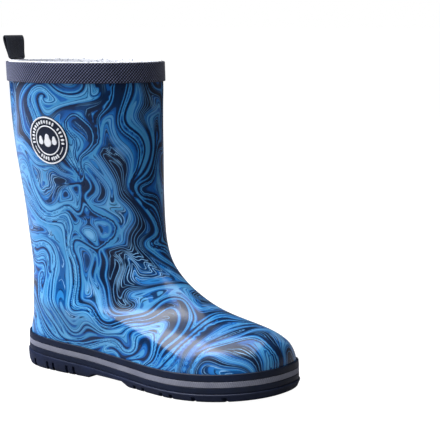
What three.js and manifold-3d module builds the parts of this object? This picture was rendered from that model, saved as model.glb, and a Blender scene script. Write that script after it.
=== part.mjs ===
// Child's pull-on rubber rain boot for the right foot, size EU 28, in millimetres.
// While it is modelled, x = 0 is the back of the heel, +X points to the toe,
// +Y to the inner side of the foot, and z = 0 is the floor. The finished group is
// then shifted so that its origin is the bottom centre of its bounding box.
import * as THREE from "three";
import { mergeVertices } from "three/addons/utils/BufferGeometryUtils.js";
import Module from "manifold-3d";

const wasm = await Module();
wasm.setup();

// ---------------------------------------------------------------- driving dimensions
const SOLE_LENGTH = 200; // over the foxing, heel to toe
const FOOT_HALF_WIDTH = 38; // widest half of the sole outline
const HEEL_RAISE = 5.9; // how much higher the heel sits than the ball of the foot
const HEEL_RAISE_END = 0.6 * SOLE_LENGTH; // the raise has run out here
const TOE_SPRING = 4.4; // lift of the toe tip
const TOE_SPRING_START = 0.66 * SOLE_LENGTH;
const SAMPLES = 52; // points round every horizontal slice

const RIM_HEIGHT = 200.3; // top edge of the rubber
const RUBBER = 1.7; // rubber wall
const GAP = 0.3; // clearance between stacked layers
const REINFORCEMENT = { near: 2.0, far: 2.7 }; // depths behind the outer face
const LINING = { near: 3.0, far: 3.8, top: 201.0 };
const MARGIN_WIDTH = 14; // upper turned in under the foot

const BAND = { low: 188.4, high: 200.8, thickness: 1.1 };
const FOXING = { low: 5.5, high: 17.2, near: -0.3, face: -1.45 };
const STRIPE_GROOVE = { low: 9.0, high: 12.8, depth: 0.6 };
const STRIPE = { low: 9.25, high: 12.55, near: -1.1, face: -1.4 };
const OUTSOLE_TOP = 9;
const TREAD_DEPTH = 3;
const ARCH = { heelEdge: 67, heelTop: 72, frontTop: 99, frontEdge: 105, height: 3.6 };
const HEEL_CORE = { x: 33, halfLength: 21, halfWidth: 16, floor: 5 };

const LOOP_WIDTH = 16;
const LOOP_TAPE = 0.95;
const LOOP_HEIGHT = 15;
const LOOP_HALF_DEPTH = 4.1;
const LOOP_ROOT = 1.15; // half the thickness of the two plies together
const LOOP_PIVOT = 202.95;
const LOOP_LEAN = THREE.MathUtils.degToRad(10);
const LOOP_TURN = THREE.MathUtils.degToRad(8); // towards the outer side of the heel
const LOOP_PLACE = 0.034; // how far round the rim from the middle of the back

const BADGE = { place: 0.255, height: 152.5, radius: 15.5 };

const COLOURS = {
  printed: 0x2f6fb8,
  navy: 0x23263c,
  band: 0x33354a,
  reflective: 0xa9a8b4,
  white: 0xe8ecf2,
  textile: 0xd9dde3,
  webbing: 0x16181d,
  board: 0xb39a74,
  foam: 0x5c6470,
};

// ---------------------------------------------------------------- outlines
// Outline of the foot as a share of the sole length: lateral side first, from the
// heel to the toe, then back along the medial side.
const SOLE_OUTLINE = [
  [0, 0], [0.02, -0.075], [0.085, -0.13], [0.2, -0.148], [0.35, -0.15],
  [0.52, -0.172], [0.7, -0.2], [0.83, -0.186], [0.93, -0.136], [0.985, -0.066],
  [1, 0.018], [0.985, 0.092], [0.935, 0.15], [0.85, 0.183], [0.72, 0.19],
  [0.52, 0.152], [0.35, 0.13], [0.2, 0.136], [0.085, 0.122], [0.02, 0.072],
];
// Half of the slice over the instep: along the foot, and half width.
const INSTEP_HALF = [
  [0.03, 0.5], [0.12, 0.86], [0.25, 1], [0.4, 1], [0.55, 0.9],
  [0.7, 0.7], [0.82, 0.52], [0.92, 0.36], [0.98, 0.2],
];
const SHAFT_RATIO = 0.86; // width over depth used for spacing points round the oval

// Stations up the boot: height above the ball, back and front of the slice, half
// width, and how far the slice has turned from sole outline to instep to oval.
const STATIONS = [
  { h: 9, back: 1.5, front: 198.5, half: 36.6, instep: 0, oval: 0 },
  { h: 18, back: 1.8, front: 198.5, half: 36.8, instep: 0.04, oval: 0 },
  { h: 28, back: 3.8, front: 197, half: 36.6, instep: 0.3, oval: 0 },
  { h: 34, back: 4.2, front: 192, half: 36, instep: 0.55, oval: 0 },
  { h: 38, back: 4.4, front: 186, half: 35.2, instep: 0.75, oval: 0 },
  { h: 42, back: 4.8, front: 174, half: 34.2, instep: 0.95, oval: 0 },
  { h: 47, back: 5.2, front: 154, half: 33, instep: 1, oval: 0.03 },
  { h: 54, back: 5.6, front: 137, half: 31.9, instep: 1, oval: 0.12 },
  { h: 64, back: 5.2, front: 121, half: 31.1, instep: 1, oval: 0.35 },
  { h: 76, back: 2.8, front: 110, half: 30.9, instep: 1, oval: 0.62 },
  { h: 90, back: -0.6, front: 104.5, half: 31.6, instep: 1, oval: 0.85 },
  { h: 110, back: -4, front: 101.5, half: 33.6, instep: 1, oval: 1 },
  { h: 150, back: -8.8, front: 99, half: 39.6, instep: 1, oval: 1 },
  { h: 188, back: -10, front: 97, half: 44.4, instep: 1, oval: 1 },
  { h: 202, back: -10, front: 96, half: 45.4, instep: 1, oval: 1 },
];
// Rows of the wall, from just above the turned-in margin to the rim.
const WALL = [18, 25, 31, 36, 40, 44, 49, 56, 65, 77, 92, 115, 143, 168, 187];

// ---------------------------------------------------------------- curves
function clamp(value, low, high) {
  return Math.min(high, Math.max(low, value));
}

// Smooth monotone curve through the stations' values of one key.
function stationValue(key, h) {
  const last = STATIONS.length - 1;
  if (h <= STATIONS[0].h) return STATIONS[0][key];
  if (h >= STATIONS[last].h) return STATIONS[last][key];
  const rise = (i) => (STATIONS[i + 1][key] - STATIONS[i][key]) / (STATIONS[i + 1].h - STATIONS[i].h);
  const slope = (i) => {
    if (i === 0 || i === last) return rise(Math.min(i, last - 1));
    const before = rise(i - 1);
    const after = rise(i);
    return before * after <= 0 ? 0 : (2 * before * after) / (before + after);
  };
  let i = 0;
  while (h > STATIONS[i + 1].h) i += 1;
  const a = STATIONS[i];
  const b = STATIONS[i + 1];
  const width = b.h - a.h;
  const u = (h - a.h) / width;
  return (
    a[key] * (1 + 2 * u) * (1 - u) ** 2 +
    b[key] * u * u * (3 - 2 * u) +
    slope(i) * width * u * (1 - u) ** 2 +
    slope(i + 1) * width * u * u * (u - 1)
  );
}

// A closed outline that can be read at a share 0 to 1 of its own length.
function closedOutline(points) {
  const curve = new THREE.CatmullRomCurve3(
    points.map(([x, y]) => new THREE.Vector3(x, y, 0)), true, "catmullrom", 0.5);
  curve.arcLengthDivisions = 2000;
  return (t) => curve.getPointAt(((t % 1) + 1) % 1);
}

const soleCurve = closedOutline(SOLE_OUTLINE.map(([x, y]) => [x * SOLE_LENGTH, y * SOLE_LENGTH]));
const INSTEP_LENGTH = 150;
const INSTEP_HALF_WIDTH = 34;
const instepCurve = closedOutline([
  [0, 0],
  ...INSTEP_HALF.map(([x, y]) => [x * INSTEP_LENGTH, -y * INSTEP_HALF_WIDTH]),
  [INSTEP_LENGTH, 0],
  ...INSTEP_HALF.map(([x, y]) => [x * INSTEP_LENGTH, y * INSTEP_HALF_WIDTH]).reverse(),
]);
const ovalCurve = closedOutline(
  Array.from({ length: 48 }, (_, i) => {
    const angle = (i / 48) * 2 * Math.PI;
    return [-Math.cos(angle), -SHAFT_RATIO * Math.sin(angle)];
  }));

function heelRaise(x) {
  return HEEL_RAISE * clamp(1 - x / HEEL_RAISE_END, 0, 1);
}

function toeSpring(x) {
  return TOE_SPRING * clamp((x - TOE_SPRING_START) / (SOLE_LENGTH - TOE_SPRING_START), 0, 1) ** 2;
}

// Height of the sole layers at x: level h at the ball, higher at the heel and toe.
function layerHeight(x, h) {
  return h + heelRaise(x) + toeSpring(x);
}

// The curve of the sole layers fades out up the wall, so the rim is level.
function fade(h) {
  const u = clamp(1 - (h - 20) / 60, 0, 1);
  return u * u * (3 - 2 * u);
}

const outlineCache = new Map();
function outlinePoint(t) {
  const key = t.toFixed(6);
  if (!outlineCache.has(key)) {
    const sole = soleCurve(t);
    const instep = instepCurve(t);
    const oval = ovalCurve(t);
    outlineCache.set(key, [
      [sole.x / SOLE_LENGTH, sole.y / FOOT_HALF_WIDTH],
      [instep.x / INSTEP_LENGTH, instep.y / INSTEP_HALF_WIDTH],
      [(oval.x + 1) / 2, oval.y / SHAFT_RATIO],
    ]);
  }
  return outlineCache.get(key);
}

// Outer face of the rubber upper at a share t of the way round and level h.
function skin(t, h) {
  const [sole, instep, oval] = outlinePoint(t);
  const a = stationValue("instep", h);
  const b = stationValue("oval", h);
  const blend = (k) => (sole[k] * (1 - a) + instep[k] * a) * (1 - b) + oval[k] * b;
  const back = stationValue("back", h);
  const x = back + (stationValue("front", h) - back) * blend(0);
  const y = stationValue("half", h) * blend(1);
  return new THREE.Vector3(x, y, h + fade(h) * (heelRaise(x) + toeSpring(x)));
}

// Outward normal of that face.
function skinNormal(t, h) {
  const step = 0.004;
  const along = skin(t + step, h).sub(skin(t - step, h));
  const up = skin(t, h + 0.6).sub(skin(t, h - 0.6));
  return along.cross(up).normalize();
}

// A point at a depth behind the outer face (negative is in front of it).
function behind(t, h, depth) {
  return skin(t, h).addScaledVector(skinNormal(t, h), -depth);
}

// The same on a sole layer: the depth is level, and the height follows the sole.
function behindSole(t, h, depth, lift = layerHeight) {
  const step = 0.004;
  const level = Math.max(h, STATIONS[0].h);
  const along = skin(t + step, level).sub(skin(t - step, level));
  const point = skin(t, level);
  const inward = new THREE.Vector3(-along.y, along.x, 0).normalize();
  point.addScaledVector(inward, depth);
  point.z = lift(point.x, h);
  return point;
}

// ---------------------------------------------------------------- mesh helpers
function meshGeometry(positions, triangles) {
  const geometry = new THREE.BufferGeometry();
  geometry.setAttribute("position", new THREE.Float32BufferAttribute(positions.flatMap((p) => p.toArray()), 3));
  geometry.setIndex(triangles);
  return geometry;
}

// Skin through rings of equal length, each running counter-clockwise seen from above.
// A closed loft joins its last ring to its first. An open one gets ladder caps.
function loft(rings, { closed = false } = {}) {
  const n = rings[0].length;
  const triangles = [];
  const spans = closed ? rings.length : rings.length - 1;
  for (let j = 0; j < spans; j += 1) {
    const a = j * n;
    const b = ((j + 1) % rings.length) * n;
    // Every diagonal runs from the lower ring's point to the upper ring's next one, so
    // that nested walls are split alike and keep their clearance.
    const rising = rings[(j + 1) % rings.length][0].z >= rings[j][0].z;
    for (let i = 0; i < n; i += 1) {
      const k = (i + 1) % n;
      if (rising) triangles.push(a + i, a + k, b + k, a + i, b + k, b + i);
      else triangles.push(a + i, a + k, b + i, a + k, b + k, b + i);
    }
  }
  if (!closed) {
    ladder(triangles, 0, n, true);
    ladder(triangles, (rings.length - 1) * n, n, false);
  }
  return meshGeometry(rings.flat(), triangles);
}

// Strips straight across a ring, from each point to the one facing it.
function ladder(triangles, first, n, facingDown) {
  const add = (a, b, c) => {
    if (facingDown) triangles.push(first + a, first + c, first + b);
    else triangles.push(first + a, first + b, first + c);
  };
  add(0, 1, n - 1);
  for (let i = 1; i < n / 2 - 1; i += 1) {
    add(i, i + 1, n - i - 1);
    add(i, n - i - 1, n - i);
  }
  add(n / 2 - 1, n / 2, n / 2 + 1);
}

// A sheet of even thickness: one grid of points for the front and one for the back.
function sheet(front, back) {
  const rows = front.length;
  const columns = front[0].length;
  const triangles = [];
  const at = (side, j, i) => side * rows * columns + j * columns + i;
  for (let j = 0; j < rows - 1; j += 1) {
    for (let i = 0; i < columns - 1; i += 1) {
      triangles.push(at(0, j, i), at(0, j, i + 1), at(0, j + 1, i + 1));
      triangles.push(at(0, j, i), at(0, j + 1, i + 1), at(0, j + 1, i));
      triangles.push(at(1, j, i), at(1, j + 1, i + 1), at(1, j, i + 1));
      triangles.push(at(1, j, i), at(1, j + 1, i), at(1, j + 1, i + 1));
    }
  }
  const edge = [];
  for (let i = 0; i < columns - 1; i += 1) edge.push([0, i]);
  for (let j = 0; j < rows - 1; j += 1) edge.push([j, columns - 1]);
  for (let i = columns - 1; i > 0; i -= 1) edge.push([rows - 1, i]);
  for (let j = rows - 1; j > 0; j -= 1) edge.push([j, 0]);
  edge.forEach(([j, i], k) => {
    const [jn, im] = edge[(k + 1) % edge.length];
    triangles.push(at(0, j, i), at(1, jn, im), at(0, jn, im));
    triangles.push(at(0, j, i), at(1, j, i), at(1, jn, im));
  });
  return meshGeometry([...front.flat(), ...back.flat()], triangles);
}

function ring(point) {
  return Array.from({ length: SAMPLES }, (_, i) => point(i / SAMPLES));
}

function solid(geometry) {
  const bare = geometry.index ? geometry.clone() : geometry;
  bare.deleteAttribute("normal");
  bare.deleteAttribute("uv");
  const merged = mergeVertices(bare, 1e-4);
  return new wasm.Manifold(new wasm.Mesh({
    numProp: 3,
    vertProperties: new Float32Array(merged.attributes.position.array),
    triVerts: new Uint32Array(merged.index.array),
  }));
}

function fromSolid(body) {
  const mesh = body.getMesh();
  const geometry = new THREE.BufferGeometry();
  geometry.setAttribute("position", new THREE.BufferAttribute(new Float32Array(mesh.vertProperties), 3));
  geometry.setIndex(Array.from(mesh.triVerts));
  return geometry;
}

function block(width, depth, height, x, y, z, turn = 0) {
  const geometry = new THREE.BoxGeometry(width, depth, height);
  geometry.rotateZ(turn);
  geometry.translate(x, y, z);
  return solid(geometry);
}

// ---------------------------------------------------------------- sub-parts
const boot = new THREE.Group();

function addPart(name, geometry, colour, roughness, metalness = 0) {
  const shaded = geometry.clone();
  shaded.computeVertexNormals();
  const material = new THREE.MeshStandardMaterial({ color: colour, roughness, metalness });
  const mesh = new THREE.Mesh(shaded, material);
  mesh.name = name;
  boot.add(mesh);
}

// Rubber upper: wall from the lasting margin to the rim, and the margin under the foot.
function upperShell() {
  const low = OUTSOLE_TOP + GAP;
  const marginTop = low + RUBBER;
  const outer = WALL.map((h) => ring((t) => behind(t, h, 0)));
  const inner = WALL.map((h) => ring((t) => behind(t, h, RUBBER))).reverse();
  const rings = [
    ring((t) => behindSole(t, low, MARGIN_WIDTH)),
    ring((t) => behindSole(t, low, 0.8)),
    ring((t) => behindSole(t, low + 0.8, 0)),
    ...outer,
    ring((t) => behind(t, RIM_HEIGHT - 0.4, 0)),
    ring((t) => behind(t, RIM_HEIGHT, 0.4)),
    ring((t) => behind(t, RIM_HEIGHT, RUBBER)),
    ...inner,
    ring((t) => behindSole(t, marginTop + 1, RUBBER)),
    ring((t) => behindSole(t, marginTop, RUBBER + 1)),
    ring((t) => behindSole(t, marginTop, MARGIN_WIDTH)),
  ];
  return loft(rings, { closed: true });
}

// Textile sock inside the rubber, closed under the foot and open at the top.
function liningSock() {
  const low = OUTSOLE_TOP + GAP + RUBBER + GAP + 1.7 + GAP;
  const thickness = LINING.far - LINING.near;
  const rings = [
    ring((t) => behindSole(t, low, LINING.near + 0.7)),
    ring((t) => behindSole(t, low + 0.7, LINING.near)),
    ...WALL.map((h) => ring((t) => behind(t, h, LINING.near))),
    ring((t) => behind(t, LINING.top, LINING.near)),
    ring((t) => behind(t, LINING.top, LINING.far)),
    ...WALL.map((h) => ring((t) => behind(t, h, LINING.far))).reverse(),
    ring((t) => behindSole(t, low + 0.7 + thickness, LINING.far)),
    ring((t) => behindSole(t, low + thickness, LINING.far + 0.7)),
  ];
  return loft(rings);
}

// Reinforcement moulded in between rubber and lining, over a run of samples and rows.
function reinforcement(firstSample, lastSample, lowLevel, topLevel) {
  const levels = [lowLevel, ...WALL.filter((h) => h > lowLevel + 1 && h < topLevel - 1), topLevel];
  const grid = (depth) =>
    levels.map((h) => {
      const row = [];
      for (let i = firstSample; i <= lastSample; i += 1) row.push(behind(i / SAMPLES, h, depth));
      return row;
    });
  return sheet(grid(REINFORCEMENT.near), grid(REINFORCEMENT.far));
}

// Textured rubber band round the outside of the rim.
function topBinding() {
  const near = -GAP;
  const face = -GAP - BAND.thickness;
  const rings = [
    ring((t) => behind(t, BAND.low, near)),
    ring((t) => behind(t, BAND.low, face + 0.3)),
    ring((t) => behind(t, BAND.low + 0.4, face)),
    ring((t) => behind(t, BAND.high - 0.4, face)),
    ring((t) => behind(t, BAND.high, face + 0.3)),
    ring((t) => behind(t, BAND.high, near)),
  ];
  return loft(rings, { closed: true });
}

// Foxing strip round the joint of upper and outsole, grooved for the stripe.
function foxingStrip() {
  const { low, high, near, face } = FOXING;
  const floor = face + STRIPE_GROOVE.depth;
  const rows = [
    [low, near], [low, face + 0.3], [low + 0.4, face],
    [STRIPE_GROOVE.low, face], [STRIPE_GROOVE.low, floor],
    [STRIPE_GROOVE.high, floor], [STRIPE_GROOVE.high, face],
    [high - 0.6, face], [high, face + 0.5], [high, near],
  ];
  return loft(rows.map(([h, depth]) => ring((t) => behindSole(t, h, depth))), { closed: true });
}

// Reflective stripe laid in the groove of the foxing.
function reflectiveStripe() {
  const rows = [
    [STRIPE.low, STRIPE.near], [STRIPE.low, STRIPE.face],
    [STRIPE.high, STRIPE.face], [STRIPE.high, STRIPE.near],
  ];
  return loft(rows.map(([h, depth]) => ring((t) => behindSole(t, h, depth))), { closed: true });
}

// Oval plug or pocket under the heel, with its top on the layer surface.
function heelOval(grow, floor, topLevel) {
  const count = 28;
  const oval = (height) =>
    Array.from({ length: count }, (_, i) => {
      const angle = Math.PI + (i / count) * 2 * Math.PI;
      const x = HEEL_CORE.x + (HEEL_CORE.halfLength + grow) * Math.cos(angle);
      const y = (HEEL_CORE.halfWidth + grow) * Math.sin(angle);
      return new THREE.Vector3(x, y, height(x));
    });
  return loft([oval(() => floor), oval((x) => layerHeight(x, topLevel))]);
}

// Half width of the sole at x on the lateral (-1) or medial (+1) side.
function soleEdge(x, side) {
  let edge = 0;
  for (let i = 0; i < 400; i += 1) {
    const point = soleCurve((side < 0 ? i : -i) / 800);
    if (point.x > x) break;
    edge = point.y;
  }
  return edge;
}

// Rubber outsole: heel block, arch, treaded forefoot, and a rebate for the foxing.
function outsole() {
  const lift = (share) => (x, h) => h + share * heelRaise(x) + toeSpring(x);
  const rows = [
    [0, 0.6, 0], [0.8, -0.6, 0], [3.6, -1.6, 0.05], [4.4, -2.1, 0.85], [5.0, -1.9, 1],
    [5.2, -1.4, 1], [5.2, 0.2, 1], [OUTSOLE_TOP, 0.2, 1],
  ];
  let body = solid(loft(rows.map(([h, depth, share]) => ring((t) => behindSole(t, h, depth, lift(share))))));

  // Arch between the heel block and the forefoot.
  const arch = new THREE.Shape();
  arch.moveTo(ARCH.heelEdge, -2);
  arch.lineTo(ARCH.frontEdge, -2);
  arch.lineTo(ARCH.frontEdge, 0);
  arch.lineTo(ARCH.frontTop, ARCH.height);
  arch.lineTo(ARCH.heelTop, ARCH.height);
  arch.lineTo(ARCH.heelEdge, 0);
  arch.closePath();
  const tunnel = new THREE.ExtrudeGeometry(arch, { depth: 120, bevelEnabled: false });
  tunnel.rotateX(Math.PI / 2);
  tunnel.translate(0, 60, 0);
  body = body.subtract(solid(tunnel));

  // Chevron grooves across the forefoot.
  for (const x of [114, 122, 138, 146, 162, 180]) {
    const floor = TREAD_DEPTH + toeSpring(x);
    for (const side of [-1, 1]) {
      body = body.subtract(block(2.6, 50, 8, x - 2.5, side * 24, floor - 4, side * 0.12));
    }
  }
  // Straight grooves across the heel block, with notches up its side wall.
  for (const x of [20, 32.5, 38, 50, 56]) {
    body = body.subtract(block(1.8, 90, 6, x, 0, TREAD_DEPTH - 0.5 - 3));
    for (const side of [-1, 1]) {
      body = body.subtract(block(1.8, 3.2, 14, x, soleEdge(x, side) + side * 1.4, -0.8));
    }
  }
  return fromSolid(body.subtract(solid(heelOval(GAP, HEEL_CORE.floor, OUTSOLE_TOP + 3))));
}

// One flat layer under the foot, between two levels and inside the outline by a depth.
function soleLayer(low, high, depth) {
  return loft([ring((t) => behindSole(t, low, depth)), ring((t) => behindSole(t, high, depth))]);
}

// Pull loop of folded webbing, standing on its hinge line at the rim.
function pullLoop() {
  const side = (points, sign) => points.map(([u, v]) => new THREE.Vector2(sign * u, v));
  const outline = [[LOOP_ROOT, 0], [LOOP_ROOT + 0.25, 2], [2.9, 4.8], [3.8, 7.6], [LOOP_HALF_DEPTH, 11],
    [LOOP_HALF_DEPTH, 13], [3.5, 14.3], [2.3, LOOP_HEIGHT - 0.1]];
  const hollow = outline.slice(2).map(([u, v]) => [u - LOOP_TAPE, v >= 13 ? v - LOOP_TAPE : v]);
  const shape = new THREE.Shape();
  const root = Array.from({ length: 7 }, (_, i) => {
    const angle = Math.PI + (i / 6) * Math.PI;
    return new THREE.Vector2(LOOP_ROOT * Math.cos(angle), LOOP_ROOT * Math.sin(angle));
  });
  const right = side(outline, 1).slice(1);
  const left = side(outline, -1).slice(1).reverse();
  shape.setFromPoints([...root, ...right, ...left]);
  const hole = new THREE.Path();
  hole.setFromPoints([new THREE.Vector2(0, 2.4), ...side(hollow, -1), ...side(hollow, 1).reverse()]);
  shape.holes.push(hole);
  const tape = new THREE.ExtrudeGeometry(shape, { depth: LOOP_WIDTH, bevelEnabled: false });
  tape.translate(0, 0, -LOOP_WIDTH / 2);
  tape.rotateZ(-LOOP_LEAN);
  tape.rotateX(Math.PI / 2);
  tape.rotateZ(Math.PI + LOOP_TURN);
  const place = loopRoot();
  tape.translate(place.x, place.y, LOOP_PIVOT);
  return tape;
}

// Where the two plies of the tape leave the rim, midway through the reinforcement gap.
function loopRoot() {
  const depth = (REINFORCEMENT.near + REINFORCEMENT.far) / 2;
  return behind(LOOP_PLACE, RIM_HEIGHT, depth);
}

// Strip that follows the wall: a share of the way round, a width, two levels, two depths.
function wallStrip(place, width, low, high, near, far, columns = 6, rows = 3) {
  const middle = (low + high) / 2;
  const perMillimetre = 0.01 / skin(place + 0.005, middle).distanceTo(skin(place - 0.005, middle));
  const grid = (depth) =>
    Array.from({ length: rows }, (_, j) =>
      Array.from({ length: columns }, (_, i) => {
        const t = place + (i / (columns - 1) - 0.5) * width * perMillimetre;
        return behind(t, low + ((high - low) * j) / (rows - 1), depth);
      }));
  return sheet(grid(near), grid(far));
}

// Point of the badge at a distance and angle from its centre, on the wall.
function badgePoint(radius, angle, depth) {
  const { place, height } = BADGE;
  const perMillimetre = 0.01 / skin(place + 0.005, height).distanceTo(skin(place - 0.005, height));
  const t = place + radius * Math.cos(angle) * perMillimetre;
  return behind(t, height + radius * Math.sin(angle), depth);
}

// A disc, ring or drop on the badge: outer and inner radius as functions of the angle.
function badgePiece(outer, inner, near, face, count = 40) {
  const loop = (radius, depth) =>
    Array.from({ length: count }, (_, i) => {
      const angle = (i / count) * 2 * Math.PI;
      return badgePoint(radius(angle), angle, depth);
    });
  if (inner) {
    const rings = [loop(inner, near), loop(outer, near), loop(outer, face), loop(inner, face)];
    return loft(rings, { closed: true });
  }
  const half = (angle) => outer(angle) / 2;
  const points = [loop(half, near), loop(outer, near), loop(outer, face), loop(half, face)];
  const geometry = loft(points, { closed: false });
  return withFans(geometry, points, badgePoint(0, 0, near), badgePoint(0, 0, face));
}

// Replaces the ladder caps of a round piece by fans to a middle point on each face.
function withFans(geometry, rings, nearCentre, faceCentre) {
  const n = rings[0].length;
  const wall = Array.from(geometry.index.array).slice(0, (rings.length - 1) * n * 6);
  const total = rings.length * n;
  const top = total - n;
  for (let i = 0; i < n; i += 1) {
    const k = (i + 1) % n;
    wall.push(total, k, i);
    wall.push(total + 1, top + i, top + k);
  }
  return meshGeometry([...rings.flat(), nearCentre, faceCentre], wall);
}

// ---------------------------------------------------------------- assembly
addPart("upper_shell", upperShell(), COLOURS.printed, 0.22);
addPart("lining", liningSock(), COLOURS.textile, 0.95);
addPart("toe_reinforcement", reinforcement(19, 33, 18, 40), COLOURS.navy, 0.6);
addPart("heel_counter", reinforcement(-7, 7, 18, 56), COLOURS.navy, 0.6);
addPart("top_binding", topBinding(), COLOURS.band, 0.5);

addPart("pull_loop", pullLoop(), COLOURS.webbing, 0.9);
const tailTop = LOOP_PIVOT - LOOP_ROOT - GAP - 0.2;
addPart("loop_tails",
  wallStrip(LOOP_PLACE, LOOP_WIDTH, 184, tailTop, REINFORCEMENT.near, REINFORCEMENT.far), COLOURS.webbing, 0.9);
for (const [name, low] of [["loop_stitch_upper", 196], ["loop_stitch_lower", 188]]) {
  const near = LINING.far + GAP;
  addPart(name, wallStrip(LOOP_PLACE, LOOP_WIDTH - 4, low, low + 1.2, near, near + 0.5, 6, 2),
    COLOURS.webbing, 0.8);
}

const patch = { near: -0.35, face: -1.0 };
const print = { near: -1.25, face: -1.5 };
addPart("badge_patch", badgePiece(() => BADGE.radius, null, patch.near, patch.face), COLOURS.navy, 0.35);
addPart("badge_outer_ring", badgePiece(() => 14.4, () => 13.2, print.near, print.face), COLOURS.white, 0.4);
addPart("badge_inner_ring", badgePiece(() => 9.2, () => 8.4, print.near, print.face), COLOURS.white, 0.4);
const drop = (angle) => 3.4 + 2.6 * Math.max(0, Math.sin(angle)) ** 6;
addPart("badge_raindrop", badgePiece(drop, null, print.near, print.face), COLOURS.white, 0.4);

addPart("foxing_strip", foxingStrip(), COLOURS.navy, 0.45);
addPart("reflective_stripe", reflectiveStripe(), COLOURS.reflective, 0.35);
addPart("outsole", outsole(), COLOURS.navy, 0.55);
addPart("heel_core", heelOval(0, HEEL_CORE.floor + GAP, OUTSOLE_TOP), COLOURS.foam, 0.9);

const marginLow = OUTSOLE_TOP + GAP;
const boardLow = marginLow + RUBBER + GAP;
const liningLow = boardLow + 1.7 + GAP;
const foamLow = liningLow + LINING.far - LINING.near + GAP;
addPart("sole_filler", soleLayer(marginLow, marginLow + RUBBER, MARGIN_WIDTH + GAP), COLOURS.board, 0.9);
addPart("insole_board", soleLayer(boardLow, boardLow + 1.7, LINING.near + 0.1), COLOURS.board, 0.9);
addPart("insole_foam", soleLayer(foamLow, foamLow + 3.2, LINING.far + 2.2), COLOURS.foam, 0.9);
addPart("insole_cover", soleLayer(foamLow + 3.5, foamLow + 4.3, LINING.far + 2.4), COLOURS.textile, 0.95);

// Origin at the bottom centre of the bounding box.
const bounds = new THREE.Box3().setFromObject(boot, true);
const middle = bounds.getCenter(new THREE.Vector3());
boot.position.set(-middle.x, -middle.y, -bounds.min.z);

export default boot;
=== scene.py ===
# Looks of the child's rubber rain boot: every visible surface is modelled again, finely,
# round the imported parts, with a procedural material for each.
import math

import bmesh
import bpy
import numpy as np
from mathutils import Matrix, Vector


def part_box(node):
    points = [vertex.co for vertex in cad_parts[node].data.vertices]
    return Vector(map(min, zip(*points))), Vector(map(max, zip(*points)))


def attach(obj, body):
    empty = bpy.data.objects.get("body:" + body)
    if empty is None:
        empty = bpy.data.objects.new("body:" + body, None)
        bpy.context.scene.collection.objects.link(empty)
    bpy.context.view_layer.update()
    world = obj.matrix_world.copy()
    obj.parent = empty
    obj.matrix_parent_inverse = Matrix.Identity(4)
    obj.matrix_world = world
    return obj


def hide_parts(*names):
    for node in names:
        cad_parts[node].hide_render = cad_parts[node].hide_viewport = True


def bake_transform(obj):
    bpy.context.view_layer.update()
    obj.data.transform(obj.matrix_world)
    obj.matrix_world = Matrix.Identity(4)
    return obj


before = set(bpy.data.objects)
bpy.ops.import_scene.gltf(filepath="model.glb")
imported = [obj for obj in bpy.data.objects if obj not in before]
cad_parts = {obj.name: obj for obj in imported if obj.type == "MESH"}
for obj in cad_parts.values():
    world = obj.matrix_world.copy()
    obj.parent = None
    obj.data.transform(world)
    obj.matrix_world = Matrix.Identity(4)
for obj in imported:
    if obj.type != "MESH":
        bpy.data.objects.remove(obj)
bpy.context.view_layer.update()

# ---------------- boot shape
# The boot's own frame is in millimetres: x = 0 is the back of the heel, +X the toe,
# +Y the inner side of the foot, z = 0 the floor. at_frame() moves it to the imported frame.
MM = 0.001
SOLE_LENGTH = 200
FOOT_HALF_WIDTH = 38
HEEL_RAISE = 5.9
HEEL_RAISE_END = 0.6 * SOLE_LENGTH
TOE_SPRING = 4.4
TOE_SPRING_START = 0.66 * SOLE_LENGTH
RIM = 200.3
RUBBER = 1.7

SOLE_OUTLINE = [
    (0, 0), (0.02, -0.075), (0.085, -0.13), (0.2, -0.148), (0.35, -0.15),
    (0.52, -0.172), (0.7, -0.2), (0.83, -0.186), (0.93, -0.136), (0.985, -0.066),
    (1, 0.018), (0.985, 0.092), (0.935, 0.15), (0.85, 0.183), (0.72, 0.19),
    (0.52, 0.152), (0.35, 0.13), (0.2, 0.136), (0.085, 0.122), (0.02, 0.072),
]
INSTEP_HALF = [
    (0.03, 0.5), (0.12, 0.86), (0.25, 1), (0.4, 1), (0.55, 0.9),
    (0.7, 0.7), (0.82, 0.52), (0.92, 0.36), (0.98, 0.2),
]
INSTEP_LENGTH = 150
INSTEP_HALF_WIDTH = 34
SHAFT_RATIO = 0.86

# Height over the ball, back, front and half width of the slice, and how far the slice
# has turned from the sole's outline to the instep's and to the oval of the shaft.
STATIONS = np.array([
    (9, 1.5, 198.5, 36.6, 0, 0),
    (18, 1.8, 198.5, 36.8, 0.04, 0),
    (28, 3.8, 197, 36.6, 0.3, 0),
    (34, 4.2, 192, 36, 0.55, 0),
    (38, 4.4, 186, 35.2, 0.75, 0),
    (42, 4.8, 174, 34.2, 0.95, 0),
    (47, 5.2, 154, 33, 1, 0.03),
    (54, 5.6, 137, 31.9, 1, 0.12),
    (64, 5.2, 121, 31.1, 1, 0.35),
    (76, 2.8, 110, 30.9, 1, 0.62),
    (90, -0.6, 104.5, 31.6, 1, 0.85),
    (110, -4, 101.5, 33.6, 1, 1),
    (150, -8.8, 99, 39.6, 1, 1),
    (188, -10, 97, 44.4, 1, 1),
    (202, -10, 96, 45.4, 1, 1),
])
BACK, FRONT, HALF, TO_INSTEP, TO_OVAL = range(1, 6)
CURVE_STEPS = 200  # points drawn between two points of an outline
OUTLINE_STEPS = 4000
OUTLINE_SOFTNESS = 24
LEVELS = np.arange(6, 206.01, 0.25)
LEVEL_SOFTNESS = 9
# The raised heel and the sprung toe of the sole fade out over these levels of the upper.
FADE_START = 20
FADE_RANGE = 60
SIDE_STEP = 0.004  # share of the way round, to either side, that a direction is measured over
UP_STEP = 0.6  # the same up the wall, in millimetres


def smooth(x):
    x = np.clip(x, 0, 1)
    return x * x * (3 - 2 * x)


def unit(v):
    return v / np.linalg.norm(v, axis=-1, keepdims=True)


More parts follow.
